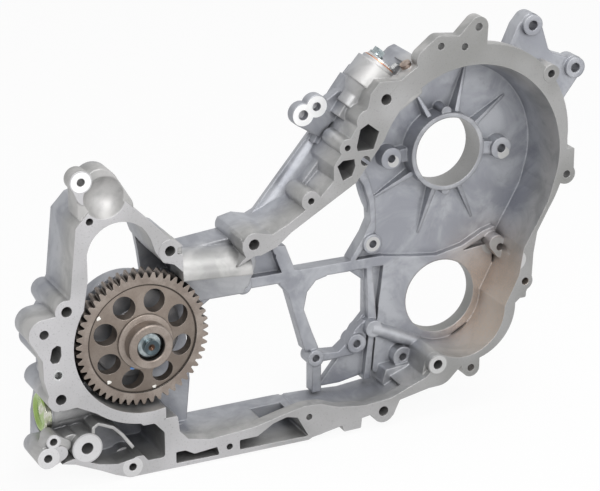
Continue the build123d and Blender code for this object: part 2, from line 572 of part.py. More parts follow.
NODES = {
    "gear_case": casting,
    "pump_drive_gear": drive_gear,
    "drive_gear_bolt": gear_bolt,
    "pump_shaft": shaft,
    "shaft_key": key,
    "thrust_washer": lambda: sleeve(AXIS_X, AXIS_Z, 15, 8.1, 23.03, 24.5),
    "front_bush": lambda: sleeve(AXIS_X, AXIS_Z, 10, SHAFT_R + RUN, 24.5, 33.9),
    "rear_bush": lambda: sleeve(AXIS_X, AXIS_Z, 10, SHAFT_R + RUN, FLOOR, 55.6),
    "inner_rotor": inner_rotor,
    "outer_rotor": outer_rotor,
    "pump_cover": cover,
    "pump_cover_screws": cover_screws,
    "relief_valve_piston": valve_piston,
    "relief_valve_spring": valve_spring,
    "relief_valve_plug": valve_plug,
    "relief_plug_washer": plug_washer,
    "copper_gasket": copper_gasket,
    "gallery_cap": gallery_cap,
    "spring_clip": spring_clip,
    "cap_bolt": cap_bolt,
    "locating_dowel": lambda: sleeve(-207.5, -75, 4.4, 3.1, 0, 8),
    "sealing_plug": sealing_plug,
}

os.makedirs("parts", exist_ok=True)
for name, make in NODES.items():
    solid = Pos(-DATUM[0], -DATUM[1], -DATUM[2]) * make()
    export_step(solid, "parts/" + name + ".step")
    print(name, round(solid.volume, 1))
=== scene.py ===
import math

import bmesh
import bpy
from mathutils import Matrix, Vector, geometry


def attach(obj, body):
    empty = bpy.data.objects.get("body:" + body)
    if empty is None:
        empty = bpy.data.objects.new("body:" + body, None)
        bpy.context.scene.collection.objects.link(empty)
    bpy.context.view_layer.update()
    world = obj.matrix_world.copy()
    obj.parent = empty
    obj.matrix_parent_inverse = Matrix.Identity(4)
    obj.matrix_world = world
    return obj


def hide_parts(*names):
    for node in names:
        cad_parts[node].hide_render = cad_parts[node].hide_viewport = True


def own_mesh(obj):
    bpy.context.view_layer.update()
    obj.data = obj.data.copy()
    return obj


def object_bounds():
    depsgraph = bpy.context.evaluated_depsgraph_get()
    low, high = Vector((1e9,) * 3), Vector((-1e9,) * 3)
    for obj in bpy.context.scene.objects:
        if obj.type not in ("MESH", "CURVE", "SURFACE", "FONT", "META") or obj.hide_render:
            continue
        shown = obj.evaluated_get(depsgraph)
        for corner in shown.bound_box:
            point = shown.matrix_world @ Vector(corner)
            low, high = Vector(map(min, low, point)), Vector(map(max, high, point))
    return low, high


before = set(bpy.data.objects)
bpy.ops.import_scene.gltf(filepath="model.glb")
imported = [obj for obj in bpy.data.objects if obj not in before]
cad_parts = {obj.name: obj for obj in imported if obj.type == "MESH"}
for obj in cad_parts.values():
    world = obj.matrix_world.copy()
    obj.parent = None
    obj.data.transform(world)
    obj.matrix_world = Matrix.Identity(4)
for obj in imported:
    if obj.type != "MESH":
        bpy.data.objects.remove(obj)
cad_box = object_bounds()

MM = 0.001


# The drawing of the part has its own zero; this gives a drawing point in the part's frame, in metres
def drawn(x, y, z):
    return Vector(((x - 150.0) * MM, (y - 56.0) * MM, (z - 47.5) * MM))


GEAR_CENTRE = drawn(-132.5, 0.0, -61.4)
UPPER_BORE = drawn(150.0, 56.0, 47.5)
LOWER_BORE = drawn(151.0, 56.0, -85.2)
JOINT_FACE = drawn(0.0, 0.0, 0.0).y
MIDDLE = drawn(0.0, 0.0, 0.0)
# Centre of the painted warm reflection on the skin at the lower right
WARM_REFLECTION_SPOT = drawn(205.0, 30.0, -95.0)

# Centres of bosses and lugs in the drawing, x and z in mm
TOP_LUG = (-184.0, 81.0)
BRACKET_LARGE = (19.8, 96.0)
BRACKET_SMALL = (31.6, 101.6)
CORNER_BOSS = (-218.5, -144.5)
CORNER_PIN = (-213.5, -131.0)
STOUT_BOSS = (-185.5, -142.0)
BOTTOM_BOSS = (-147.5, -166.0)
ARM_BOLT = (-40.0, 7.0)
# Their spot-faced ends, and those of five bosses in the chambers: centre, radius in mm, and how
# strongly a painted highlight whitens the cut
SPOT_FACES = [(*TOP_LUG, 8.2, 1.0), (*BRACKET_LARGE, 9.2, 1.0), (*BRACKET_SMALL, 9.0, 1.0),
              (*CORNER_BOSS, 9.5, 0.3), (*STOUT_BOSS, 11.5, 0.3), (*BOTTOM_BOSS, 8.5, 0.3),
              (*CORNER_PIN, 5.2, 0.3), (200.0, -46.0, 9.0, 0.3), (127.0, -127.0, 8.0, 0.3),
              (206.0, 36.5, 5.5, 0.3), (102.6, 44.0, 5.0, 0.3), (86.0, -27.0, 6.5, 0.3)]


def linear(hex_colour):
    """Turns an sRGB hex colour into the linear colour that a shader takes."""
    parts = [int(hex_colour[k:k + 2], 16) / 255 for k in (1, 3, 5)]
    curve = [c / 12.92 if c <= 0.04045 else ((c + 0.055) / 1.055) ** 2.4 for c in parts]
    return (*curve, 1.0)


def add(tree, kind, inputs, out=0, **settings):
    """Adds a node, sets it, feeds each input a value or another node's output, and gives one output."""
    made = tree.nodes.new("ShaderNode" + kind)
    for key, value in settings.items():
        setattr(made, key, value)
    for key, value in inputs.items():
        if isinstance(value, bpy.types.NodeSocket):
            tree.links.new(value, made.inputs[key])
        else:
            made.inputs[key].default_value = value
    return made.outputs[out] if made.outputs else made


# Sockets of the Mix node by number: 0 share, 2 and 3 floats, 4 and 5 vectors, 6 and 7 colours;
# its outputs are 0 float, 1 vector, 2 colour
COLOUR = {"data_type": "RGBA", "out": 2}
VECTOR = {"data_type": "VECTOR", "out": 1}
SMOOTH = {"interpolation_type": "SMOOTHSTEP"}
# One turn of a sine, and of a wave texture, in radians
TURN = 6.283


def per(size_mm):
    """A texture scale whose features are about size_mm across."""
    return 1.0 / (size_mm * MM)


def new_material(name):
    material = bpy.data.materials.new(name)
    material.use_nodes = True
    material.node_tree.nodes.clear()
    return material, material.node_tree


def from_axis(tree, place, centre):
    """Distance of the shaded point from a line along Y through a centre."""
    flat = add(tree, "Mapping", {0: place, 1: (-centre.x, 0.0, -centre.z), 3: (1.0, 0.0, 1.0)})
    return add(tree, "VectorMath", {0: flat}, "Value", operation="LENGTH")


def wear_and_highlight_edge(tree, soft, facing):
    """1 along edges, where the rounded normal leaves the flat one; it lightens edges for wear and a painted
    highlight.
    """
    turn = add(tree, "VectorMath", {0: soft, 1: facing}, "Value", operation="DOT_PRODUCT")
    return add(tree, "MapRange", {0: turn, 1: 0.99, 2: 0.86}, **SMOOTH)


# Die-cast aluminium, as it comes from the die: a light grey skin with flow clouds and rounded edges,
# bluish in the deep recesses towards the block face, with a painted warm reflection at the lower right.
# Joint faces, spot faces and bores are milled: flat and even, with fine cutter marks
def die_cast_aluminium():
    material, tree = new_material("die_cast_aluminium")
    place = add(tree, "TexCoord", {}, "Object")
    facing = add(tree, "NewGeometry", {}, "Normal")
    split = add(tree, "SeparateXYZ", {0: place}, "Y")
    turned = add(tree, "SeparateXYZ", {0: facing}, "Y")
    to_front = add(tree, "MapRange", {0: turned, 1: -0.97, 2: -0.995}, **SMOOTH)
    to_rear = add(tree, "MapRange", {0: turned, 1: 0.97, 2: 0.995}, **SMOOTH)
    at_front = add(tree, "MapRange", {0: split, 1: JOINT_FACE + 0.6 * MM, 2: JOINT_FACE + 0.3 * MM})
    at_rear = add(tree, "MapRange", {0: split, 1: -0.6 * MM, 2: -0.3 * MM})
    spots = bright = 0.0
    for x, z, radius, shine in SPOT_FACES:
        away = from_axis(tree, place, drawn(x, 0.0, z))
        disc = add(tree, "Math", {0: away, 1: radius * MM}, operation="LESS_THAN")
        spots = add(tree, "Math", {0: disc, 1: spots}, operation="MAXIMUM")
        shine = add(tree, "Math", {0: disc, 1: shine}, operation="MULTIPLY")
        bright = add(tree, "Math", {0: shine, 1: bright}, operation="MAXIMUM")
    front = add(tree, "Math", {0: at_front, 1: spots}, operation="MAXIMUM")
    front = add(tree, "Math", {0: front, 1: to_front}, operation="MULTIPLY")
    rear = add(tree, "Math", {0: at_rear, 1: to_rear}, operation="MULTIPLY")
    upper = add(tree, "MapRange", {0: from_axis(tree, place, UPPER_BORE), 1: 30.0 * MM, 2: 29.7 * MM})
    lower = add(tree, "MapRange", {0: from_axis(tree, place, LOWER_BORE), 1: 32.8 * MM, 2: 32.5 * MM})
    milled = add(tree, "Math", {0: front, 1: rear}, operation="ADD")
    milled = add(tree, "Math", {0: milled, 1: upper}, operation="ADD")
    milled = add(tree, "Math", {0: milled, 1: lower}, operation="ADD", use_clamp=True)

    # Flow clouds some 35 mm long, blotches of 9 mm and a skin grain of about 1.2 mm
    flow = add(tree, "TexNoise", {"Vector": place, "Scale": per(35), "Detail": 4.0, "Roughness": 0.6,
                                  "Distortion": 0.7})
    blotch = add(tree, "TexNoise", {"Vector": place, "Scale": per(9), "Detail": 3.0, "Roughness": 0.6})
    grain = add(tree, "TexNoise", {"Vector": place, "Scale": per(1.2), "Detail": 2.0, "Roughness": 0.6})
    cloud = add(tree, "MapRange", {0: flow, 1: 0.35, 2: 0.66}, **SMOOTH)
    outside = add(tree, "Mix", {0: cloud, 6: linear("#9c9c9b"), 7: linear("#b9b8b7")}, **COLOUR)
    inside = add(tree, "Mix", {0: cloud, 6: linear("#94969d"), 7: linear("#b1b3b8")}, **COLOUR)
    # The bluish tone comes in from 46 mm to 14 mm in front of the block face
    deep = add(tree, "MapRange", {0: split, 1: -46 * MM, 2: -14 * MM}, **SMOOTH)
    skin = add(tree, "Mix", {0: deep, 6: outside, 7: inside}, **COLOUR)
    stain = add(tree, "MapRange", {0: blotch, 1: 0.56, 2: 0.74, 4: 0.22}, **SMOOTH)
    skin = add(tree, "Mix", {0: stain, 6: skin, 7: linear("#7c7d80")}, **COLOUR)
    # Painted warm reflection on the skin at the lower right, speckled
    painted_warm_reflection = add(tree, "VectorMath", {0: place, 1: WARM_REFLECTION_SPOT}, "Value", operation="DISTANCE")
    painted_warm_reflection = add(tree, "MapRange", {0: painted_warm_reflection, 1: 28 * MM, 2: 85 * MM, 3: 0.85, 4: 0.0}, **SMOOTH)
    speckle = add(tree, "MapRange", {0: grain, 1: 0.42, 2: 0.62, 3: 0.55, 4: 1.0}, **SMOOTH)
    painted_warm_reflection = add(tree, "Math", {0: painted_warm_reflection, 1: speckle}, operation="MULTIPLY")
    skin = add(tree, "Mix", {0: painted_warm_reflection, 6: skin, 7: linear("#c3b1a0")}, **COLOUR)
    # Milled faces: grey, with painted light that brightens them towards the pump, a faint film and specks of
    # open pores
    film = add(tree, "TexNoise", {"Vector": place, "Scale": per(70), "Detail": 2.0})
    film = add(tree, "MapRange", {0: film, 1: 0.35, 2: 0.65, 3: 0.0, 4: 0.3}, **SMOOTH)
    # Painted light: a gradient that brightens the milled faces towards the pump
    painted_light_across = add(tree, "SeparateXYZ", {0: place}, "X")
    painted_light_across = add(tree, "MapRange", {0: painted_light_across, 1: 100 * MM, 2: -380 * MM, 3: 0.0, 4: 0.7}, **SMOOTH)
    film = add(tree, "Math", {0: film, 1: painted_light_across}, operation="ADD", use_clamp=True)
    face = add(tree, "Mix", {0: film, 6: linear("#858583"), 7: linear("#c4c3c5")}, **COLOUR)
    pores = add(tree, "MapRange", {0: grain, 1: 0.60, 2: 0.72, 4: 0.4}, **SMOOTH)
    face = add(tree, "Mix", {0: pores, 6: face, 7: linear("#7f7f7d")}, **COLOUR)
    # Painted highlight: the spot faces are whitened towards near white, fully on the upper bosses
    face = add(tree, "Mix", {0: bright, 6: face, 7: linear("#f6f6f6")}, **COLOUR)
    colour = add(tree, "Mix", {0: milled, 6: skin, 7: face}, **COLOUR)
    # Painted shade: the skin is darkened where the walls stand close
    open_air = add(tree, "AmbientOcclusion", {"Distance": 38 * MM}, "AO", samples=8)
    painted_recess_shade = add(tree, "MapRange", {0: open_air, 1: 0.62, 2: 0.12, 3: 0.0, 4: 0.42}, **SMOOTH)
    colour = add(tree, "Mix", {0: painted_recess_shade, 6: colour, 7: linear("#3d3d41")}, **COLOUR)

    round_cast = add(tree, "Bevel", {"Radius": 2.0 * MM}, samples=6)
    round_milled = add(tree, "Bevel", {"Radius": 0.5 * MM}, samples=4)
    soft = add(tree, "Mix", {0: milled, 4: round_cast, 5: round_milled}, **VECTOR)
    # Lighter edges on the cast skin: partly wear, partly a painted highlight
    edge = add(tree, "Math", {0: wear_and_highlight_edge(tree, round_cast, facing), 1: 0.12}, operation="MULTIPLY")
    colour = add(tree, "Mix", {0: edge, 6: colour, 7: linear("#d6d7d8")}, **COLOUR)
    # Cutter marks 2.4 mm apart on the milled faces, lumps in the cast skin
    cutter = add(tree, "TexWave", {"Vector": place, "Scale": per(2.4) / TURN, "Distortion": 2.0,
                                   "Detail": 1.0}, "Fac", wave_type="RINGS", rings_direction="Y")
    lumps = add(tree, "Math", {0: blotch, 1: 2.0, 2: grain}, operation="MULTIPLY_ADD")
    scratch = add(tree, "Math", {0: cutter, 1: 0.12}, operation="MULTIPLY")
    height = add(tree, "Mix", {0: milled, 2: lumps, 3: scratch}, data_type="FLOAT")
    rough_cast = add(tree, "MapRange", {0: flow, 1: 0.3, 2: 0.7, 3: 0.42, 4: 0.56})
    rough_milled = add(tree, "MapRange", {0: grain, 1: 0.3, 2: 0.7, 3: 0.40, 4: 0.52})
    rough = add(tree, "Mix", {0: milled, 2: rough_cast, 3: rough_milled}, data_type="FLOAT")
    normal = add(tree, "Bump", {"Height": height, "Distance": 0.14 * MM, "Strength": 0.6, "Normal": soft})
    shader = add(tree, "BsdfPrincipled", {"Base Color": colour, "Metallic": 0.7, "Roughness": rough,
                                          "Normal": normal})
    add(tree, "OutputMaterial", {"Surface": shader})
    return material


# Phosphated steel: a warm brown-grey crystal coat that scatters light, with turned rings on the hub
# face, a darker dished web, and lighter tooth edges, partly bare metal showing and partly painted highlight
def phosphated_steel():
    material, tree = new_material("phosphated_gear_steel")
    place = add(tree, "TexCoord", {}, "Object")
    facing = add(tree, "NewGeometry", {}, "Normal")
    radius = from_axis(tree, place, GEAR_CENTRE)
    # Clouds of about 14 mm in the coat, crystals drawn at 1.2 mm so that they show
    cloud = add(tree, "TexNoise", {"Vector": place, "Scale": per(14), "Detail": 3.0, "Roughness": 0.6})
    crystal = add(tree, "TexNoise", {"Vector": place, "Scale": per(1.2), "Detail": 2.0, "Roughness": 0.7})
    share = add(tree, "MapRange", {0: cloud, 1: 0.35, 2: 0.7}, **SMOOTH)
    colour = add(tree, "Mix", {0: share, 6: linear("#8a7f77"), 7: linear("#a1978f")}, **COLOUR)
    # The dished web lies between radii of 23 and 46 mm, and painted shade darkens the groove that closes it
    # off from the rim
    web_in = add(tree, "MapRange", {0: radius, 1: 22.5 * MM, 2: 23.5 * MM}, **SMOOTH)
    web_out = add(tree, "MapRange", {0: radius, 1: 46.6 * MM, 2: 46.0 * MM}, **SMOOTH)
    web = add(tree, "Math", {0: web_in, 1: web_out}, operation="MULTIPLY")
    web = add(tree, "Math", {0: web, 1: 0.55}, operation="MULTIPLY")
    colour = add(tree, "Mix", {0: web, 6: colour, 7: linear("#72685f")}, **COLOUR)
    # Painted shade in the groove between web and rim
    groove_in = add(tree, "MapRange", {0: radius, 1: 44.7 * MM, 2: 45.0 * MM}, **SMOOTH)
    groove_out = add(tree, "MapRange", {0: radius, 1: 46.5 * MM, 2: 46.2 * MM}, **SMOOTH)
    painted_groove_shade = add(tree, "Math", {0: groove_in, 1: groove_out}, operation="MULTIPLY")
    colour = add(tree, "Mix", {0: painted_groove_shade, 6: colour, 7: linear("#463f3a")}, **COLOUR)
    specks = add(tree, "MapRange", {0: crystal, 1: 0.5, 2: 0.75, 4: 0.3}, **SMOOTH)
    colour = add(tree, "Mix", {0: specks, 6: colour, 7: linear("#5d564f")}, **COLOUR)
    soft = add(tree, "Bevel", {"Radius": 0.5 * MM}, samples=6)
    # Lighter edges: partly bare metal showing through the coat, partly a painted highlight
    edge = add(tree, "Math", {0: wear_and_highlight_edge(tree, soft, facing), 1: 0.5}, operation="MULTIPLY")
    colour = add(tree, "Mix", {0: edge, 6: colour, 7: linear("#c2bab2")}, **COLOUR)
    # Painted shade darkens the tooth gaps
    open_air = add(tree, "AmbientOcclusion", {"Distance": 9 * MM}, "AO", samples=8)
    painted_gap_shade = add(tree, "MapRange", {0: open_air, 1: 0.75, 2: 0.3, 3: 0.0, 4: 0.92}, **SMOOTH)
    colour = add(tree, "Mix", {0: painted_gap_shade, 6: colour, 7: linear("#191614")}, **COLOUR)
    # Turning marks 0.9 mm apart
    rings = add(tree, "Math", {0: radius, 1: per(0.9) * TURN}, operation="MULTIPLY")
    rings = add(tree, "Math", {0: rings}, operation="SINE")
    height = add(tree, "Math", {0: rings, 1: 0.3, 2: crystal}, operation="MULTIPLY_ADD")
    rough = add(tree, "MapRange", {0: cloud, 1: 0.3, 2: 0.7, 3: 0.40, 4: 0.52})
    normal = add(tree, "Bump", {"Height": height, "Distance": 0.05 * MM, "Strength": 0.5, "Normal": soft})
    shader = add(tree, "BsdfPrincipled", {"Base Color": colour, "Metallic": 0.85, "Roughness": rough,
                                          "Normal": normal})
    add(tree, "OutputMaterial", {"Surface": shader})
    return material


# Zinc plating passivated blue: bright with a faint cold cast. The flange bolt's dished head carries
# painted shade, darkest and brownish in its dimple
def blue_zinc(name, dished):
    material, tree = new_material(name)
    place = add(tree, "TexCoord", {}, "Object")
    film = add(tree, "TexNoise", {"Vector": place, "Scale": per(5), "Detail": 2.0})
    share = add(tree, "MapRange", {0: film, 1: 0.35, 2: 0.65}, **SMOOTH)
    colour = add(tree, "Mix", {0: share, 6: linear("#838e92"), 7: linear("#aab3b5")}, **COLOUR)
    if dished:
        radius = from_axis(tree, place, GEAR_CENTRE)
        # Painted shade in the dished head, darkest and brownish in its dimple
        painted_dish_shade = add(tree, "MapRange", {0: radius, 1: 6.8 * MM, 2: 6.0 * MM}, **SMOOTH)
        colour = add(tree, "Mix", {0: painted_dish_shade, 6: colour, 7: linear("#4b565b")}, **COLOUR)
        painted_dimple_shade = add(tree, "MapRange", {0: radius, 1: 3.2 * MM, 2: 2.2 * MM}, **SMOOTH)
        colour = add(tree, "Mix", {0: painted_dimple_shade, 6: colour, 7: linear("#4c3a30")}, **COLOUR)
    grain = add(tree, "TexNoise", {"Vector": place, "Scale": per(1.5), "Detail": 2.0})
    soft = add(tree, "Bevel", {"Radius": 0.4 * MM}, samples=6)
    normal = add(tree, "Bump", {"Height": grain, "Distance": 0.02 * MM, "Strength": 0.6, "Normal": soft})
    shader = add(tree, "BsdfPrincipled", {"Base Color": colour, "Metallic": 1.0, "Roughness": 0.3,
                                          "Normal": normal})
    add(tree, "OutputMaterial", {"Surface": shader})
    return material


# Yellow chromate over zinc: silver with green-yellow clouds where the film is thicker
def yellow_chromate():
    material, tree = new_material("yellow_chromate_zinc")
    place = add(tree, "TexCoord", {}, "Object")
    film = add(tree, "TexNoise", {"Vector": place, "Scale": per(9), "Detail": 3.0, "Distortion": 1.2})
    share = add(tree, "MapRange", {0: film, 1: 0.40, 2: 0.60}, **SMOOTH)
    colour = add(tree, "Mix", {0: share, 6: linear("#a9ad94"), 7: linear("#c9c9bd")}, **COLOUR)
    green = add(tree, "TexNoise", {"Vector": place, "Scale": per(22), "Detail": 1.0, "Distortion": 0.5})
    green = add(tree, "MapRange", {0: green, 1: 0.48, 2: 0.60, 4: 0.8}, **SMOOTH)
    colour = add(tree, "Mix", {0: green, 6: colour, 7: linear("#86a44a")}, **COLOUR)
    soft = add(tree, "Bevel", {"Radius": 0.6 * MM}, samples=6)
    normal = add(tree, "Bump", {"Height": film, "Distance": 0.05 * MM, "Strength": 0.5, "Normal": soft})
    shader = add(tree, "BsdfPrincipled", {"Base Color": colour, "Metallic": 1.0, "Roughness": 0.24,
                                          "Normal": normal})
    add(tree, "OutputMaterial", {"Surface": shader})
    return material


# Bare metals: two near tones in clouds, a fine grain or turning marks, softened edges.
# Ground and bright steel are smooth, sintered steel is matt with turning marks, bronze and copper are warm
def bare_metal(name, low, high, roughness, cloud_mm, turned=False):
    material, tree = new_material(name)
    place = add(tree, "TexCoord", {}, "Object")
    cloud = add(tree, "TexNoise", {"Vector": place, "Scale": per(cloud_mm), "Detail": 3.0, "Roughness": 0.6})
    share = add(tree, "MapRange", {0: cloud, 1: 0.35, 2: 0.68}, **SMOOTH)
    colour = add(tree, "Mix", {0: share, 6: linear(low), 7: linear(high)}, **COLOUR)
    if turned:
        marks = add(tree, "Math", {0: from_axis(tree, place, GEAR_CENTRE), 1: per(1.1) * TURN},
                    operation="MULTIPLY")
        height = add(tree, "Math", {0: marks}, operation="SINE")
    else:
        height = add(tree, "TexNoise", {"Vector": place, "Scale": per(1.0), "Detail": 2.0})
    rough = add(tree, "MapRange", {0: cloud, 1: 0.3, 2: 0.7, 3: roughness, 4: roughness + 0.1})
    soft = add(tree, "Bevel", {"Radius": 0.3 * MM}, samples=6)
    normal = add(tree, "Bump", {"Height": height, "Distance": 0.02 * MM, "Strength": 0.5, "Normal": soft})
    shader = add(tree, "BsdfPrincipled", {"Base Color": colour, "Metallic": 1.0, "Roughness": rough,
                                          "Normal": normal})
    add(tree, "OutputMaterial", {"Surface": shader})
    return material


# Marking paint: opaque and slightly glossy, thin where the brush left the surface
def marking_paint(name, tone):
    material, tree = new_material(name)
    place = add(tree, "TexCoord", {}, "Object")
    streak = add(tree, "TexNoise", {"Vector": place, "Scale": per(1.5), "Detail": 2.0})
    thin = add(tree, "MapRange", {0: streak, 1: 0.45, 2: 0.7, 4: 0.35}, **SMOOTH)
    colour = add(tree, "Mix", {0: thin, 6: linear(tone), 7: linear("#9a948c")}, **COLOUR)
    normal = add(tree, "Bump", {"Height": streak, "Distance": 0.1 * MM})
    shader = add(tree, "BsdfPrincipled", {"Base Color": colour, "Roughness": 0.45, "Normal": normal})
    add(tree, "OutputMaterial", {"Surface": shader})
    return material


GROUND_STEEL = bare_metal("ground_steel", "#97989a", "#b3b4b5", 0.25, 8)
SINTERED_STEEL = bare_metal("sintered_steel", "#767677", "#8c8c8d", 0.42, 5, turned=True)
BRONZE = bare_metal("bearing_bronze", "#a27f50", "#b8925f", 0.35, 8)
COPPER = bare_metal("annealed_copper", "#b0755a", "#d19a78", 0.34, 6)
BRIGHT_STEEL = bare_metal("bright_spring_steel", "#c4c6c7", "#dcdddd", 0.22, 8)
TURNED_ALUMINIUM = bare_metal("turned_aluminium", "#a6a7a8", "#bdbebe", 0.32, 20, turned=True)
STAINED_STEEL = bare_metal("oil_stained_steel", "#8f7f76", "#b5a79d", 0.32, 4)
FINISHES = {
    "gear_case": die_cast_aluminium(),
    "pump_drive_gear": phosphated_steel(),
    "drive_gear_bolt": blue_zinc("blue_zinc_flange_bolt", True),
    "pump_shaft": GROUND_STEEL,
    "shaft_key": GROUND_STEEL,
    "thrust_washer": BRONZE,
    "front_bush": BRONZE,
    "rear_bush": BRONZE,
    "inner_rotor": SINTERED_STEEL,
    "outer_rotor": SINTERED_STEEL,
    "pump_cover": TURNED_ALUMINIUM,
    "pump_cover_screws": blue_zinc("blue_zinc_screws", False),
    "relief_valve_piston": GROUND_STEEL,
    "relief_valve_spring": BRIGHT_STEEL,
    "relief_valve_plug": yellow_chromate(),
    "relief_plug_washer": TURNED_ALUMINIUM,
    "copper_gasket": COPPER,
    "gallery_cap": BRIGHT_STEEL,
    "spring_clip": BRIGHT_STEEL,
    "cap_bolt": blue_zinc("blue_zinc_cap_bolt", False),
    "locating_dowel": BRIGHT_STEEL,
    "sealing_plug": STAINED_STEEL,
}


def coat(piece, material):
    piece.data.materials.clear()
    piece.data.materials.append(material)
    for polygon in piece.data.polygons:
        polygon.material_index = 0


for name, material in FINISHES.items():
    coat(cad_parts[name], material)


# Shapes for recasting the case. Outlines are drawn in X and Z and pushed from front to back, in mm:
# the joint face is at depth 0 and the block face at BACK, and a cut runs PAST beyond a face
BACK = 56
PAST = 2
SIDES = 40
QUARTER = (0, 0.26, 0.52, 0.79, 1.05, 1.31, 1.5708)
DEPTH = Vector((0, 1, 0))


def ring(x, z, radius):
    turns = [math.tau * k / SIDES for k in range(SIDES)]
    return [(x + radius * math.cos(a), z + radius * math.sin(a)) for a in turns]


def hull(*discs):
    """The outline stretched around discs, each given as x, z and radius."""
    points = [Vector(p) for disc in discs for p in ring(*disc)]
    return [tuple(points[k]) for k in geometry.convex_hull_2d(points)]


def form_of(shape):
    mesh = bpy.data.meshes.new("form")
    shape.to_mesh(mesh)
    shape.free()
    return bpy.data.objects.new("form", mesh)


def solid(start, end):
    """A closed solid between two outlines with as many corners, in the part's frame."""
    shape = bmesh.new()
    near = [shape.verts.new(c) for c in start]
    far = [shape.verts.new(c) for c in end]
    shape.faces.new(near)
    shape.faces.new(reversed(far))
    for k in range(len(near)):
        shape.faces.new((near[k - 1], far[k - 1], far[k], near[k]))
    bmesh.ops.recalc_face_normals(shape, faces=shape.faces)
    return form_of(shape)


def prism(corners, lift):
    return solid(corners, [Vector(c) + lift for c in corners])


def slab(outline, front, back):
    return prism([drawn(x, front, z) for x, z in outline], DEPTH * (back - front) * MM)


def post(x, z, radius, front, back):
    return slab(ring(x, z, radius), front, back)


def joined(target, forms, operation):
    """Adds a set of forms to the target's mesh, or cuts them from it."""
    group = bpy.data.collections.new("forms")
    bpy.context.scene.collection.children.link(group)
    for form in forms:
        group.objects.link(form)
    change = target.modifiers.new("forms", "BOOLEAN")
    change.operation = operation
    change.operand_type = "COLLECTION"
    change.collection = group
    change.solver = "EXACT"
    shape = bpy.data.meshes.new_from_object(target.evaluated_get(bpy.context.evaluated_depsgraph_get()))
    target.modifiers.clear()
    target.data = shape
    for form in forms:
        bpy.data.objects.remove(form)
    bpy.data.collections.remove(group)


# The diagonal bar: its foot, the way it climbs, and the way out of its upper side
BAR_FOOT = drawn(-24, 0, 8)
BAR_WAY = (drawn(36, 0, 79) - BAR_FOOT).normalized()
BAR_OUT = Vector((-BAR_WAY.z, 0, BAR_WAY.x))
BAR_LENGTH = 132
ARM_WAY = Vector((1, 0, -0.07)).normalized()
ARM_LENGTH = 60
# Outer arc of the joint face below the gear, and the relief valve's tube
ARC_X = -131
ARC_Z = -57.5
ARC_RADIUS = 72.3
PLUG_END = -206.5
VALVE_DEPTH = 33
VALVE_Z = -119.4
TUBE_RADIUS = 14.4
TUBE_LENGTH = 44
# The gallery's cap sits on a leaning boss
CAP_SEAT = drawn(83.5, 28, 134.2)
CAP_LEAN = Vector((0.67, 0, 0.7424)).normalized()


# Smooth gutter behind the bosses of the diagonal bar, up to its rear flange
def gutter():
    hollow = [(-9 + 11 * (1 - math.cos(a)), 38 + 11 * math.sin(a)) for a in QUARTER]
    profile = [(-16, 30), (-9, 30), *hollow, (0, BACK), (-16, BACK)]
    corners = [BAR_FOOT + BAR_OUT * out * MM + DEPTH * depth * MM for out, depth in profile]
    return prism(corners, BAR_WAY * BAR_LENGTH * MM)


# Rounded front of the arm between the gear pocket and the diagonal bar
def arm():
    bow = [(30 - 28 * math.cos(a), -11 + 14 * math.sin(a)) for a in QUARTER]
    profile = [(30, -15), (2, -15), *bow]
    return prism([drawn(-100, depth, z) for depth, z in profile], ARM_WAY * ARM_LENGTH * MM)


# Tapered neck under the gallery's cap, flat where it meets the block face
def neck(start, end, wide, narrow):
    side = Vector((-CAP_LEAN.z, 0, CAP_LEAN.x))
    outlines = []
    for down, radius in ((start, wide), (end, narrow)):
        centre = CAP_SEAT - CAP_LEAN * down * MM
        outline = [centre + (side * u + DEPTH * v) * MM for u, v in ring(0, 0, radius)]
        for corner in outline:
            corner.y = min(corner.y, 0.0)
        outlines.append(outline)
    return solid(*outlines)


def ball(x, y, z, radius):
    shape = bmesh.new()
    bmesh.ops.create_uvsphere(shape, u_segments=SIDES, v_segments=24, radius=radius * MM)
    bmesh.ops.translate(shape, verts=shape.verts, vec=drawn(x, y, z))
    return form_of(shape)


# Open space under the arc at the lower left, with the bosses and the relief valve's tube standing in it
def lower_recess():
    arc = [(ARC_X + ARC_RADIUS * math.cos(math.radians(a)), ARC_Z + ARC_RADIUS * math.sin(math.radians(a)))
           for a in range(231, 264, 4)]
    space = slab([(-240, -106), (-206, -106), (-193, -105), *arc, (-136, -133), (-136, -158), (-142, -157.5),
                  (-160, -161), (-176, -158), (-197, -149), (-240, -160)], -PAST, 30.2)
    bpy.context.scene.collection.objects.link(space)
    around_tube = [drawn(PLUG_END, depth, z) for depth, z in ring(VALVE_DEPTH, VALVE_Z, TUBE_RADIUS)]
    left_standing = [post(*CORNER_PIN, 6.1, -3, 16),
                     post(*STOUT_BOSS, 12.8, -3, 31),
                     slab(hull((*CORNER_BOSS, 8.8), (-208, -142, 6.1)), -3, 31),
                     post(*BOTTOM_BOSS, 8.8, -3, 31),
                     prism(around_tube, Vector((TUBE_LENGTH * MM, 0, 0)))]
    joined(space, left_standing, "DIFFERENCE")
    return space


def spaces_to_clear():
    beside_bar = [(-50, 13), (-36, 16), (-24, 13), (-11, 19), (2, 27), (18, 38), (30, 50), (30, 62), (42, 80),
                  (50, 92), (60, 108), (62, 118), (62, 121), (54, 128.6), (30, 128), (-10, 110), (-40, 60)]
    before_arm = [(-101, -14), (-101, 24), (-50, 24), (-50, 4), (-47, -3), (-60, -14)]
    return [slab(beside_bar, -PAST, BACK + PAST),
            lower_recess(),
            slab(before_arm, -PAST, 29.5),
            post(-154, 17, 27.2, -PAST, BACK + PAST),
            ball(-165, -8.5, 66, 19.6)]


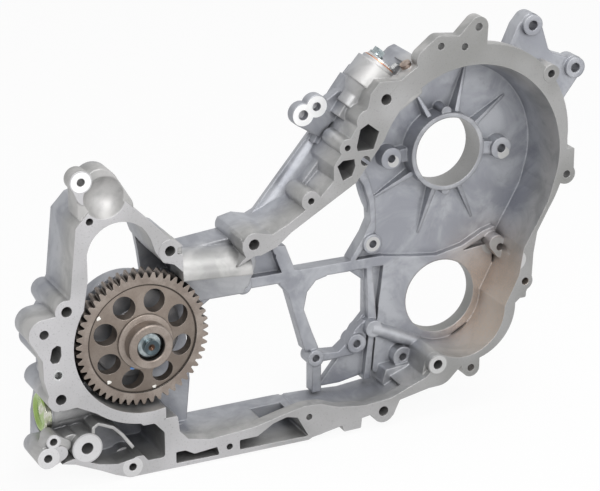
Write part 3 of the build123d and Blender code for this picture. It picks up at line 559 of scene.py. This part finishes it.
def bosses_and_walls():
    rear_flange = [(30, 70), (36, 79), (65, 105), (84, 122), (100, 112), (60, 60)]
    bracket_web = [(30, 104), (41, 106.5), (50, 112), (60, 112), (50, 92), (34, 76), (26, 80)]
    wall_at_neck = [(44, 96), (52, 108), (62, 121), (72, 118), (62, 94), (52, 90)]
    lip = [(-181, -135), (-180.5, -126), (-175, -122.5), (-162, -128), (-154, -136), (-145, -149),
           (-147, -151), (-156, -138), (-163, -130.5), (-175, -125), (-178, -127), (-178, -135)]
    return [gutter(),
            arm(),
            slab(rear_flange, 40, BACK),
            post(10, 36, 8.2, 0, 33),
            post(42.5, 76, 7.6, 0, 33),
            post(59.5, 96, 9.5, 0, 33),
            slab([(31, 48), (30.5, 58), (34, 64), (52, 66), (50, 52)], 0, 33),
            slab(hull((*BRACKET_LARGE, 9.8), (30, 90, 10)), 36, 45),
            slab(hull((*BRACKET_SMALL, 9.8), (42, 94, 8)), 36, 45),
            slab(bracket_web, 36, 45),
            neck(23, 34, 16.5, 9.5),
            neck(33.5, 44, 9.5, 9.5),
            post(*TOP_LUG, 9.2, 0, 13),
            post(*ARM_BOLT, 9.7, 0, 12),
            slab(wall_at_neck, 22, BACK),
            slab(hull((*CORNER_PIN, 5.5), (-217, -142, 7), (-203, -137, 5)), 3, 15),
            slab(hull((-205, -137, 5), (-196, -136, 6)), 6, 32),
            slab(lip, 2, 31)]


def holes_and_pockets():
    return [post(10, 36, 2.8, -PAST, 32),
            post(42, 76, 2.6, -PAST, 32),
            post(*ARM_BOLT, 4.6, -PAST, 13),
            post(*CORNER_PIN, 3.2, -PAST, 15),
            post(*CORNER_BOSS, 3.5, -PAST, 20),
            slab([(33, 62), (38, 66), (48, 66), (49, 60), (46, 52), (38, 49)], -PAST, 30.3),
            slab([(50, 76), (53, 90), (60, 94), (70, 86), (65, 72), (51, 72)], -PAST, 30.3),
            post(*BRACKET_LARGE, 4.2, 34, 43),
            post(*BRACKET_SMALL, 3.7, 34, 43),
            post(*TOP_LUG, 3.3, -PAST, 14),
            post(-178, 48, 3.0, -PAST, 40)]


def copy_of(node, name):
    copied = bpy.data.objects.new(name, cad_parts[node].data.copy())
    bpy.context.scene.collection.objects.link(copied)
    return copied


# The case as cast: the bar between the two chambers is slim, with bosses in front and a gutter behind,
# the arm is rounded, the arch over the gear is a true arc, the bosses at the lower left stand free, and
# the cheek beside the top lug is a bowl
def recast_case():
    case = copy_of("gear_case", "case_as_cast")
    shape = bmesh.new()
    shape.from_mesh(case.data)
    bmesh.ops.remove_doubles(shape, verts=shape.verts, dist=0.002 * MM)
    shape.to_mesh(case.data)
    shape.free()
    case.data.attributes.remove(case.data.attributes["custom_normal"])
    cheek = hull((-168, 74, 15), (-152, 55, 11), (-178, 54, 9), (-179, 72, 8))
    joined(case, [slab(cheek, 2, 22)], "UNION")
    joined(case, spaces_to_clear(), "DIFFERENCE")
    joined(case, bosses_and_walls(), "UNION")
    joined(case, holes_and_pockets(), "DIFFERENCE")
    for polygon in case.data.polygons:
        polygon.use_smooth = True
    case.data.set_sharp_from_angle(angle=math.radians(28))
    coat(case, FINISHES["gear_case"])
    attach(case, "case")
    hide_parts("gear_case")


# The relief spring: a copy with a mesh of its own, hung on the case in place of the original
def relief_spring():
    spring = copy_of("relief_valve_spring", "relief_spring")
    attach(spring, "case")
    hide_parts("relief_valve_spring")
    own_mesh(spring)


# Paint marks on the gear: low uneven daubs, at an angle and a reach from the gear's axis, on a face at
# face_y in the drawing
def paint_mark(name, angle, reach, size_mm, face_y, material):
    turn = math.radians(angle)
    middle = drawn(-132.5 + reach * math.cos(turn), face_y, -61.4 + reach * math.sin(turn))
    points = [middle + Vector((0, -0.35 * MM, 0))]
    faces = []
    sides = 14
    # The crown's edge, then the foot, which dips into the face
    for share, lift in ((0.6, -0.28), (1.0, 0.1)):
        for k in range(sides):
            a = math.tau * k / sides
            size = size_mm * MM * share * (1 + 0.16 * math.sin(3 * a + angle) + 0.08 * math.sin(5 * a))
            points.append(middle + Vector((size * math.cos(a), lift * MM, size * 0.8 * math.sin(a))))
    for k in range(sides):
        n = (k + 1) % sides
        faces.append((0, 1 + k, 1 + n))
        faces.append((1 + k, 1 + sides + k, 1 + sides + n, 1 + n))
    mesh = bpy.data.meshes.new(name)
    mesh.from_pydata([tuple(p) for p in points], [], faces)
    mesh.materials.append(material)
    piece = bpy.data.objects.new(name, mesh)
    bpy.context.collection.objects.link(piece)
    for polygon in mesh.polygons:
        polygon.use_smooth = True
    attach(piece, "drive")


recast_case()
relief_spring()
WHITE_PAINT = marking_paint("white_marking_paint", "#eeece6")
BLUE_PAINT = marking_paint("blue_marking_paint", "#4a8ad0")
paint_mark("paint_mark_left", 147, 43.0, 2.2, 10.6, WHITE_PAINT)
paint_mark("paint_mark_low", 228, 43.0, 2.3, 10.6, WHITE_PAINT)
paint_mark("paint_mark_right", 282, 43.5, 1.9, 10.6, WHITE_PAINT)
paint_mark("paint_mark_blue", 243, 24.0, 1.8, 6.2, BLUE_PAINT)


RAY_KINDS = ("Camera", "Glossy", "Transmission")


# A plain pale floor under the part. Seen by the camera or in a reflection it is white paper, but it
# still takes the shadow
def pale_floor():
    material, tree = new_material("pale_floor")
    rays = {kind: add(tree, "LightPath", {}, "Is %s Ray" % kind) for kind in RAY_KINDS}
    seen = add(tree, "Math", {0: rays["Camera"], 1: rays["Glossy"]}, operation="MAXIMUM")
    seen = add(tree, "Math", {0: seen, 1: rays["Transmission"]}, operation="MAXIMUM")
    share = add(tree, "Math", {0: seen, 1: 0.93}, operation="MULTIPLY")
    paint = add(tree, "BsdfDiffuse", {"Color": linear("#e8e8e8")})
    paper = add(tree, "Emission", {"Color": (1, 1, 1, 1), "Strength": 1.0})
    both = add(tree, "MixShader", {0: share, 1: paint, 2: paper})
    add(tree, "OutputMaterial", {"Surface": both})
    low = cad_box[0][2] - 1 * MM
    half = 6.0
    mesh = bpy.data.meshes.new("floor")
    mesh.from_pydata([(-half, -half, low), (half, -half, low), (half, half, low), (-half, half, low)], [],
                     [(0, 1, 2, 3)])
    mesh.materials.append(material)
    floor = bpy.data.objects.new("floor", mesh)
    bpy.context.collection.objects.link(floor)


# White surroundings: full white where they are seen or mirrored, softer as plain light
def white_surroundings():
    world = bpy.data.worlds.new("studio")
    bpy.context.scene.world = world
    world.use_nodes = True
    tree = world.node_tree
    tree.nodes.clear()
    rays = {kind: add(tree, "LightPath", {}, "Is %s Ray" % kind) for kind in RAY_KINDS}
    seen = add(tree, "Math", {0: rays["Camera"], 1: rays["Transmission"]}, operation="MAXIMUM")
    level = add(tree, "Mix", {0: rays["Glossy"], 2: 0.38, 3: 0.85}, data_type="FLOAT")
    level = add(tree, "Mix", {0: seen, 2: level, 3: 1.0}, data_type="FLOAT")
    sky = add(tree, "Background", {"Color": (1, 1, 1, 1), "Strength": level})
    add(tree, "OutputWorld", {"Surface": sky})


def softbox(name, place, width, height, watts):
    light = bpy.data.lights.new(name, "AREA")
    light.shape = "RECTANGLE"
    light.size = width
    light.size_y = height
    light.energy = watts
    lamp = bpy.data.objects.new(name, light)
    bpy.context.collection.objects.link(lamp)
    lamp.location = place
    lamp.rotation_euler = (MIDDLE - Vector(place)).to_track_quat("-Z", "Y").to_euler()


pale_floor()
white_surroundings()
softbox("key_softbox", (-0.6, -2.0, 1.3), 1.2, 1.2, 34)
softbox("top_softbox", (0.2, -0.2, 1.8), 1.4, 0.7, 18)
softbox("fill_softbox", (1.2, -1.9, 0.3), 1.2, 1.2, 8)


# Camera at the photograph's angle and framing: the focal length and width are in picture points
FOCAL_POINTS = 2594
WIDTH_POINTS = 600
SENSOR_MM = 36
DISTANCE = 2.0752


def photo_camera():
    azimuth = math.radians(-25)
    elevation = math.radians(21)
    back = Vector((math.sin(azimuth) * math.cos(elevation), -math.cos(azimuth) * math.cos(elevation),
                   math.sin(elevation)))
    lens = bpy.data.cameras.new("photo_camera")
    lens.sensor_width = SENSOR_MM
    lens.sensor_fit = "HORIZONTAL"
    lens.lens = SENSOR_MM * FOCAL_POINTS / WIDTH_POINTS
    camera = bpy.data.objects.new("photo_camera", lens)
    bpy.context.collection.objects.link(camera)
    camera.location = MIDDLE + back * DISTANCE
    camera.rotation_euler = (-back).to_track_quat("-Z", "Y").to_euler()
    bpy.context.scene.camera = camera


photo_camera()
bpy.context.scene.view_settings.view_transform = "Standard"
